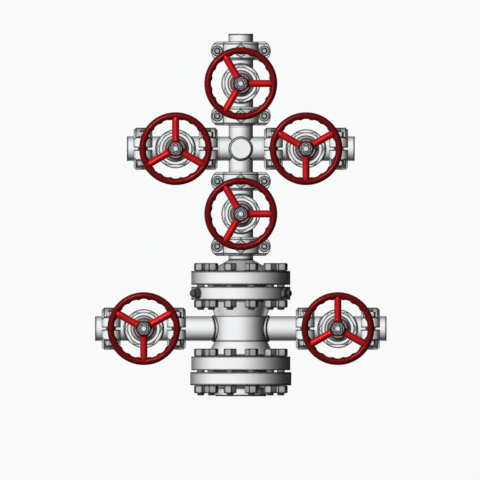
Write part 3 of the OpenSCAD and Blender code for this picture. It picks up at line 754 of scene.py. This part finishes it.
class WELLHEAD_OT_stage(bpy.types.Operator):
    """Set up the camera, the pale floor and the studio light"""

    bl_idname = "wellhead.stage"
    bl_label = "Stage"

    def camera(self):
        """A straight front view without perspective."""
        data = bpy.data.cameras.new("camera")
        data.type = "ORTHO"
        data.ortho_scale = PICTURE_WIDTH * PIXEL
        camera = bpy.data.objects.new("camera", data)
        camera.location = CAMERA_PLACE
        camera.rotation_euler = FACE_FRONT
        bpy.context.scene.collection.objects.link(camera)
        bpy.context.scene.camera = camera

    def add(self, name, bm, finish):
        """Turns a bmesh into a thing that belongs to the stage alone."""
        mesh = bpy.data.meshes.new(name)
        bm.to_mesh(mesh)
        bm.free()
        mesh.materials.append(finish.material)
        thing = bpy.data.objects.new(name, mesh)
        bpy.context.scene.collection.objects.link(thing)
        return thing

    def floor(self):
        """A pale floor that shows in its own colour and keeps the stack's shadow."""
        bm = bmesh.new()
        bmesh.ops.create_grid(bm, x_segments=1, y_segments=1, size=FLOOR_REACH)
        f = Finish("floor", Roughness=0.8, Emission_Strength=FLOOR_GLOW)
        grain = f.noise(f.place(), size=0.4, detail=4)
        pale = colours().floor
        camera, glossy, transmission = f.rays()
        f.feed("Base Color", f.mix(grain, *(darker(pale, share) for share in FLOOR_TONES)))
        f.feed("Emission Color", f.mix(camera + glossy + transmission, (0, 0, 0), pale))
        floor = self.add("floor", bm, f)
        floor.visible_glossy = False

    def world(self):
        """Even light, with the same pale background for the camera, gloss and glass."""
        world = bpy.data.worlds.new("studio")
        world.use_nodes = True
        bpy.context.scene.world = world
        tree = world.node_tree
        tree.nodes.clear()
        w = Nodes(tree)
        light = w.node("ShaderNodeBackground", None,
                       {"Color": (1, 1, 1, 1), "Strength": SKY_STRENGTH})
        backdrop = w.node("ShaderNodeBackground", None, {"Color": (*colours().floor, 1)})
        camera, glossy, transmission = w.rays()
        larger = {"operation": "MAXIMUM"}
        seen = w.node("ShaderNodeMath", larger, {0: camera, 1: glossy})
        shown = w.node("ShaderNodeMath", larger, {0: seen, 1: transmission})
        mixed = w.node("ShaderNodeMixShader", None, {"Fac": shown, 1: light, 2: backdrop})
        w.link(mixed, tree.nodes.new("ShaderNodeOutputWorld").inputs["Surface"])

    def flag(self):
        """A dark cloth round the right, the back and below, which gives steel its shading.

        A strip low at the back lets through the light that a pale floor would bounce."""
        bm = bmesh.new()
        bmesh.ops.create_icosphere(bm, subdivisions=4, radius=FLAG_RADIUS)
        f = Finish("flag", Roughness=1.0, Specular_IOR_Level=0, Base_Color=(*CLOTH, 1))
        here = f.node("ShaderNodeTexCoord", output="Object")
        way = f.node("ShaderNodeVectorMath", {"operation": "NORMALIZE"}, {0: here})
        clear = f.ramp(f.dot(way, OPEN_SIDE), OPEN_FROM, OPEN_TO, "LINEAR") ** OPEN_CURVE
        drop = 0 - f.along(way, "Z")
        strip = f.ramp(drop, *BOUNCE_TOP) * (1 - f.ramp(drop, *BOUNCE_FOOT))
        f.fade(clear + f.ramp(f.along(way, "Y"), *BOUNCE_BACK) * strip * BOUNCE)
        flag = self.add("flag", bm, f)
        flag.visible_camera = False
        flag.visible_shadow = False

    def lamp(self, name, place, size, power, gloss=False):
        """A round lamp that points at the middle of the stack."""
        data = bpy.data.lights.new(name, "AREA")
        data.shape = "DISK"
        data.size = size
        data.energy = power
        lamp = bpy.data.objects.new(name, data)
        lamp.location = place
        lamp.visible_glossy = gloss
        lamp.rotation_euler = (AIM - Vector(place)).to_track_quat("-Z", "Y").to_euler()
        bpy.context.scene.collection.objects.link(lamp)
        return lamp

    def execute(self, context):
        self.camera()
        self.floor()
        self.world()
        self.flag()
        self.lamp("key", place=(-1.5, -4.5, 2.2), size=2.0, power=220)
        self.lamp("top", place=(0.3, -0.5, 5), size=3.0, power=60)
        gleam = self.lamp("gleam", place=(-1.3, -4.5, 2.4), size=0.8, power=75, gloss=True)
        gleam.visible_diffuse = False
        gleam.light_linking.receiver_collection = painted_pieces()
        context.scene.view_settings.view_transform = "Standard"
        return {"FINISHED"}


class WELLHEAD_OT_bodies(bpy.types.Operator):
    """Give the spool, tubing head, adapter, cross, valves and stubs their steel"""

    bl_idname = "wellhead.bodies"
    bl_label = "Pressure Bodies"

    def turned(self, node, line, seam, **more):
        """Finishes a node that was turned about an axis from front to back."""
        dress(node, machined_steel(node, line, seam, middle(node), FACE_FRONT, **more))

    def execute(self, context):
        wide = {"line": 0.012, "seam": 0.014}
        fine = {"line": 0.0085, "seam": 0.006}
        for node, reaches in (("casing_spool", wide), ("tubing_head", fine),
                              ("head_adapter", wide)):
            dress(node, machined_steel(node, **reaches))
        self.turned("flow_cross", line=0.007, seam=0.006)
        dress("end_stubs", forged_steel("end_stubs", line=0.01))
        for valve in VALVES:
            self.turned(valve + "_valve_body", line=0.008, seam=0.005, rings=0.0009)
            bonnet = valve + "_bonnet"
            back, front = from_back(bonnet)
            self.turned(bonnet, line=0.005, seam=0.004, cap=(front - back) / 2 - CAP_LENGTH)
        dress("bonnet_nuts", forged_steel("bonnet_nuts", line=0.0065))
        dress("ring_gaskets", plain_steel("ring_gaskets", colours().dark_steel,
                                          roughness=0.4, line=0.002))
        return {"FINISHED"}


class WELLHEAD_OT_clamps(bpy.types.Operator):
    """Give the clamps their forged finish"""

    bl_idname = "wellhead.clamps"
    bl_label = "Clamps"

    def execute(self, context):
        forged = forged_steel("clamp_forging", line=0.0075)
        for node in ("trunk_clamps", "wing_clamps", "outlet_clamps"):
            dress(node, forged)
        return {"FINISHED"}


class WELLHEAD_OT_handwheels(bpy.types.Operator):
    """Build the red handwheels with their finger grips and spokes"""

    bl_idname = "wellhead.handwheels"
    bl_label = "Handwheels"

    def rim(self, bm, outer):
        """The rim, with finger grips on its inside."""
        thickness = sizes().rim_thickness
        mark = bm.verts.layers.float["rim"]
        mid = outer - thickness / 2
        grips = sizes().grip_count
        place = Matrix.Translation((mid, 0, 0)) @ TO_FRONT
        ring = bmesh.ops.create_circle(bm, cap_ends=False, radius=thickness / 2,
                                       segments=RIM_SEGMENTS, matrix=place)["verts"]
        spin(bm, ring + bm.edges[:], grips * STEPS_PER_GRIP)
        period = math.tau / grips
        for vert in bm.verts:
            vert[mark] = ON_RIM
            radius = vert.co.xy.length
            inward = max(0, (mid - radius) / (thickness / 2))
            angle = math.atan2(vert.co.y, vert.co.x) - period / 2
            off = abs((angle + period / 2) % period - period / 2)
            swell = math.cos(min(off / GRIP_HALF_WIDTH, 1) * math.pi / 2) ** 2
            vert.co.xy *= 1 - sizes().grip_rise * swell * inward ** 1.5 / radius

    def spokes(self, bm, hub, rim_inside):
        """Round spokes that swell toward the hub and thin a little inside the rim."""
        r = sizes().spoke_thickness / 2
        swell = sizes().spoke_fillet
        inner, outer = SPOKE_START * hub, rim_inside + SPOKE_INTO_RIM
        root = hub - SPOKE_INTO_HUB
        outline = [(0, inner), (r + swell, inner), (r + swell, root)]
        for k in range(1, FILLET_STEPS + 1):
            a = math.radians(90) * k / FILLET_STEPS
            outline.append((r + swell * (1 - math.sin(a)), root + 2 * swell * (1 - math.cos(a))))
        outline += [(r, 0.5 * (hub + rim_inside)), (r, rim_inside - 2 * swell),
                    (r * 0.985, rim_inside - 0.4 * swell),
                    (r * 0.93, rim_inside + 0.003), (r * 0.86, outer), (0, outer)]
        for k in range(SPOKES):
            made = lathe(bm, outline, SPOKE_STEPS)
            turn = Matrix.Rotation(math.tau * k / SPOKES, 4, "Z") @ ALONG_ARM
            bmesh.ops.transform(bm, verts=made, space=SAME_SPACE, matrix=turn)

    def hub(self, bm, radius, back, face):
        """The bored hub, between the distances of its back and its face."""
        bore = STEM_RADIUS + HUB_PLAY
        made = lathe(bm, [
            (bore, back), (radius - HUB_EDGE, back), (radius, back + HUB_EDGE),
            (radius, face - HUB_EDGE), (radius - HUB_EDGE, face), (bore, face)],
            HUB_STEPS, closed=True)
        for vert in made:
            vert[bm.verts.layers.float["rim"]] = ON_HUB
        soften(bm, made, sizes().edge_round, above=30)

    def execute(self, context):
        paint = wheel_paint("wheel_paint")
        hub = sizes().hub_radius
        for valve in VALVES:
            node = valve + "_handwheel"
            low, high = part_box(node)
            outer = (high.z - low.z) / 2
            back, face = from_back(node)
            bm = bmesh.new()
            bm.verts.layers.float.new("rim")
            self.rim(bm, outer)
            self.spokes(bm, hub, outer - sizes().rim_thickness)
            raise_all(bm, (back + face) / 2)
            self.hub(bm, hub, back, face)
            bm.transform(wheel_place(valve))
            piece = finish_piece(valve + "_wheel", bm, paint, valve + "_wheel",
                                 "wheel_paint", node)
            painted_pieces().objects.link(piece)
        return {"FINISHED"}


class WELLHEAD_OT_stems(bpy.types.Operator):
    """Build the threaded stems and the nuts that hold the handwheels"""

    bl_idname = "wellhead.stems"
    bl_label = "Stems"

    def execute(self, context):
        bar = plain_steel("stem_steel", colours().bar_steel, roughness=0.3, line=0.0015)
        steel = plain_steel("wheel_nut_steel", colours().nut_steel, roughness=0.3, line=0.004)
        for valve in VALVES:
            start, tip = from_back(valve + "_stem")
            seat, end = from_back(valve + "_wheel_nut")
            shoulder = seat - STEM_SHOULDER
            bm = bmesh.new()
            outline = [(0, start), (STEM_RADIUS, start), (STEM_RADIUS, shoulder),
                       (STEM_END_RADIUS, shoulder)]
            outline += thread(seat + STEM_THREAD_START, tip - CHAMFER, STEM_END_RADIUS)
            outline += [(STEM_END_RADIUS - CHAMFER, tip), (0, tip)]
            lathe(bm, outline, STEM_STEPS)
            bm.transform(wheel_place(valve))
            finish_piece(valve + "_threaded_stem", bm, bar, valve + "_wheel",
                         "stud_steel", valve + "_stem")
            bm = nut(NUT_FLATS, end - seat, STEM_END_RADIUS + FIT, WHEEL_NUT_WASHER)
            raise_all(bm, seat)
            bm.transform(wheel_place(valve))
            finish_piece(valve + "_hub_nut", bm, steel, valve + "_wheel",
                         "nut_steel", valve + "_wheel_nut")
        return {"FINISHED"}


class WELLHEAD_OT_fasteners(bpy.types.Operator):
    """Build the threaded studs and chamfered nuts of the clamps and flanges"""

    bl_idname = "wellhead.fasteners"
    bl_label = "Studs and Nuts"

    def joint(self, name, bar, steel, washer=0):
        """The studs and nuts of the clamps or of the flanges, with washer faces or without."""
        studs = Bolts(name + "_studs")
        bars = joined(threaded_bar(studs.half, studs.radius, STUD_THREAD), studs.frames)
        finish_piece(name + "_threaded_studs", bars, bar, STACK, "stud_steel", name + "_studs")
        nuts = Bolts(name + "_nuts")
        template = nut(nuts.face_radius * math.sqrt(3), 2 * nuts.half, studs.radius + FIT,
                       (nuts.radius, washer) if washer else None)
        raise_all(template, -nuts.half)
        finish_piece(name + "_hexagon_nuts", joined(template, nuts.frames), steel, STACK,
                     "nut_steel", name + "_nuts")

    def execute(self, context):
        bar = plain_steel("stud_bar", colours().stud_steel, roughness=0.32, line=0.005)
        bright = plain_steel("clamp_nut_steel", colours().bar_steel,
                             roughness=0.3, line=0.0035, seam_shade_reach=0.004)
        self.joint("clamp", bar, bright, CLAMP_WASHER)
        dull = plain_steel("flange_nut_steel", colours().nut_steel, roughness=0.3, line=0.0075)
        self.joint("flange", bar, dull)
        return {"FINISHED"}


class WELLHEAD_OT_lock_screws(bpy.types.Operator):
    """Build the lock screws and their hexagon glands in the rim of the upper flange"""

    bl_idname = "wellhead.lock_screws"
    bl_label = "Lock Screws"

    def screw(self, start, tip):
        """One screw and gland on Z, between two distances from the trunk."""
        radius, end = SCREW_RADIUS, tip - SCREW_END
        bm = nut(NUT_FLATS, GLAND_HEIGHT, radius + FIT)
        raise_all(bm, end - GLAND_HEIGHT)
        outline = [(0, start), (radius / 2, start), (radius, start + radius / 2),
                   (radius, end), (SCREW_END_RADIUS, end)]
        outline += thread(end + SCREW_NECK, tip - CHAMFER, SCREW_END_RADIUS)
        outline += [(SCREW_END_RADIUS - CHAMFER, tip), (0, tip)]
        lathe(bm, outline, SCREW_STEPS)
        return bm

    def execute(self, context):
        places = []
        for points in solids("lock_screws"):
            way = sum(points, Vector()).xy.normalized()
            reach = [p.xy.dot(way) for p in points]
            height = (max(p.z for p in points) + min(p.z for p in points)) / 2
            turn = Matrix.Rotation(math.atan2(way.y, way.x), 4, "Z")
            places.append(Matrix.Translation((0, 0, height)) @ turn @ ALONG_ARM)
        # The screws are alike, so the last one's reach serves for all of them
        screws = joined(self.screw(min(reach), max(reach)), places)
        steel = plain_steel("lock_screw_steel", colours().dark_steel, roughness=0.34, line=0.002)
        finish_piece("lock_screws_and_glands", screws, steel, STACK, "dark_steel", "lock_screws")
        return {"FINISHED"}


class WELLHEAD_PT_sidebar(bpy.types.Panel):
    """Lists the steps that dress the valve stack"""

    bl_idname = "WELLHEAD_PT_sidebar"
    bl_label = "Wellhead Valve Stack"
    bl_space_type = "VIEW_3D"
    bl_region_type = "UI"
    bl_category = "Wellhead"

    def draw(self, context):
        for operator in OPERATORS:
            self.layout.operator(operator.bl_idname)
        for group in (context.scene.wellhead_sizes, context.scene.wellhead_colours):
            box = self.layout.box()
            for key in group.__annotations__:
                box.prop(group, key)


OPERATORS = (
    WELLHEAD_OT_stage,
    WELLHEAD_OT_bodies,
    WELLHEAD_OT_clamps,
    WELLHEAD_OT_handwheels,
    WELLHEAD_OT_stems,
    WELLHEAD_OT_fasteners,
    WELLHEAD_OT_lock_screws,
)
CLASSES = (WellheadSizes, WellheadColours, *OPERATORS, WELLHEAD_PT_sidebar)


def register():
    for cls in CLASSES:
        bpy.utils.register_class(cls)
    bpy.types.Scene.wellhead_sizes = bpy.props.PointerProperty(type=WellheadSizes)
    bpy.types.Scene.wellhead_colours = bpy.props.PointerProperty(type=WellheadColours)


def unregister():
    del bpy.types.Scene.wellhead_colours
    del bpy.types.Scene.wellhead_sizes
    for cls in reversed(CLASSES):
        bpy.utils.unregister_class(cls)


def main():
    register()
    for operator in OPERATORS:
        space, name = operator.bl_idname.split(".")
        getattr(getattr(bpy.ops, space), name)()


if __name__ == "__main__":
    main()
